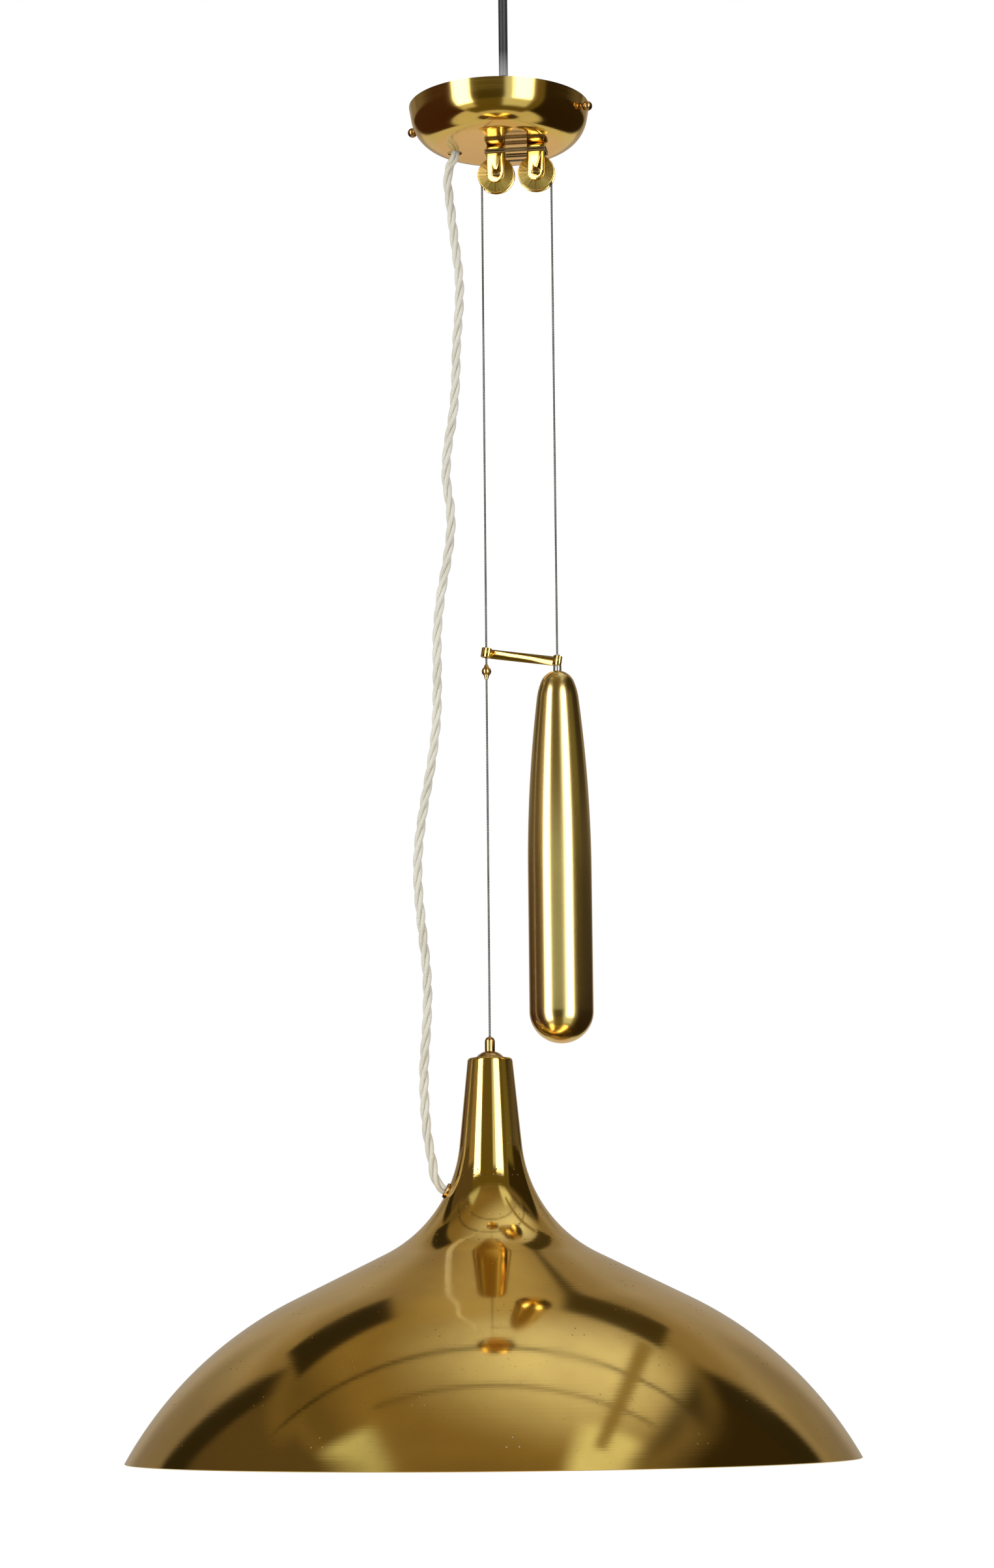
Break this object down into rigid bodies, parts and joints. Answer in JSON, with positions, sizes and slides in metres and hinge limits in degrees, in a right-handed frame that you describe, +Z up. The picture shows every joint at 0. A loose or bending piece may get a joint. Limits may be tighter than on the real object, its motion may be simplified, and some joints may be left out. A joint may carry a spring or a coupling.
{
  "type": "rise and fall pendant",
  "caption": "Spun brass pendant shade balanced by a bullet counterweight on one wire over twin sheaves under a ceiling cup.",
  "frame": {"origin": "on the ceiling, at the middle of the fitting that holds the supply cable", "axes": "+Z up, +X from the shade's wire towards the counterweight, +Y away from the viewer of the picture"},
  "size_m": [0.5, 0.5, 1.0605],
  "materials": {
    "brass_spun": "spun brass, polished and lacquered",
    "brass_weight": "spun brass, polished and lacquered",
    "brass_strap": "rolled brass strap, polished",
    "brass_sheave": "turned brass, polished",
    "brass_turned": "turned brass, slightly aged",
    "wire_steel": "thin dark steel wire rope",
    "steel_screw": "plain steel",
    "zinc_steel": "zinc-plated sheet steel",
    "iron_core": "plain cast iron",
    "black_fitting": "matte black plastic",
    "supply_sheath": "smooth black cable sheath",
    "cord_textile": "twisted cream textile-covered cord",
    "porcelain": "glazed white porcelain",
    "holder_black": "black moulded resin"
  },
  "bodies": {
    "root": {"ceiling_fitting": "black_fitting", "supply_cable": "supply_sheath", "cable_grip": "black_fitting", "ceiling_cup": "brass_spun", "ceiling_bracket": "zinc_steel", "side_screws": "brass_turned", "stiffening_plate": "zinc_steel", "terminal_block": "porcelain", "spare_cord": "cord_textile", "yoke_left": "brass_strap", "yoke_right": "brass_strap", "yoke_screws": "steel_screw", "yoke_nuts": "steel_screw", "axles": "brass_turned", "axle_nuts": "brass_turned", "wire_over": "wire_steel", "wire_hitch": "wire_steel", "lamp_cord": "cord_textile"},
    "sheave_l": {"sheave_left": "brass_sheave"},
    "sheave_r": {"sheave_right": "brass_sheave"},
    "weight": {"wire_weight": "wire_steel", "guide_arm": "brass_strap", "weight_collar": "steel_screw", "weight_shell": "brass_weight", "weight_core": "iron_core"},
    "shade": {"wire_shade": "wire_steel", "stop_bead": "brass_turned", "wire_ferrule": "brass_turned", "neck_cap": "brass_turned", "shade": "brass_spun", "neck_washer": "zinc_steel", "neck_nut": "zinc_steel", "stem": "zinc_steel", "wire_stop": "steel_screw", "cord_bush": "brass_turned", "inner_cord": "cord_textile", "holder_cap": "holder_black", "holder_insert": "porcelain", "holder_contact": "brass_turned", "holder_shell": "brass_turned", "holder_skirt": "holder_black"}
  },
  "joints": [
    {"name": "shade_slide", "type": "slide", "parent": "root", "child": "shade", "axis": [0, 0, 1], "range_m": [-0.3, 0], "deforming": ["wire_shade"]},
    {"name": "weight_slide", "type": "slide", "parent": "root", "child": "weight", "axis": [0, 0, 1], "range_m": [0, 0.3], "deforming": ["wire_weight"]},
    {"name": "sheave_left_spin", "type": "hinge", "parent": "root", "child": "sheave_l", "pos_m": [-0.00235, 0, -0.151], "axis": [0, 1, 0], "range_deg": [-1640, 5]},
    {"name": "sheave_right_spin", "type": "hinge", "parent": "root", "child": "sheave_r", "pos_m": [0.02685, 0, -0.151], "axis": [0, 1, 0], "range_deg": [-1640, 5]}
  ],
  "couplings": [
    {"joint": "weight_slide", "follows": "shade_slide", "ratio": -1},
    {"joint": "sheave_left_spin", "follows": "shade_slide", "rad_per_m": 94.787},
    {"joint": "sheave_right_spin", "follows": "shade_slide", "rad_per_m": 94.787}
  ]
}
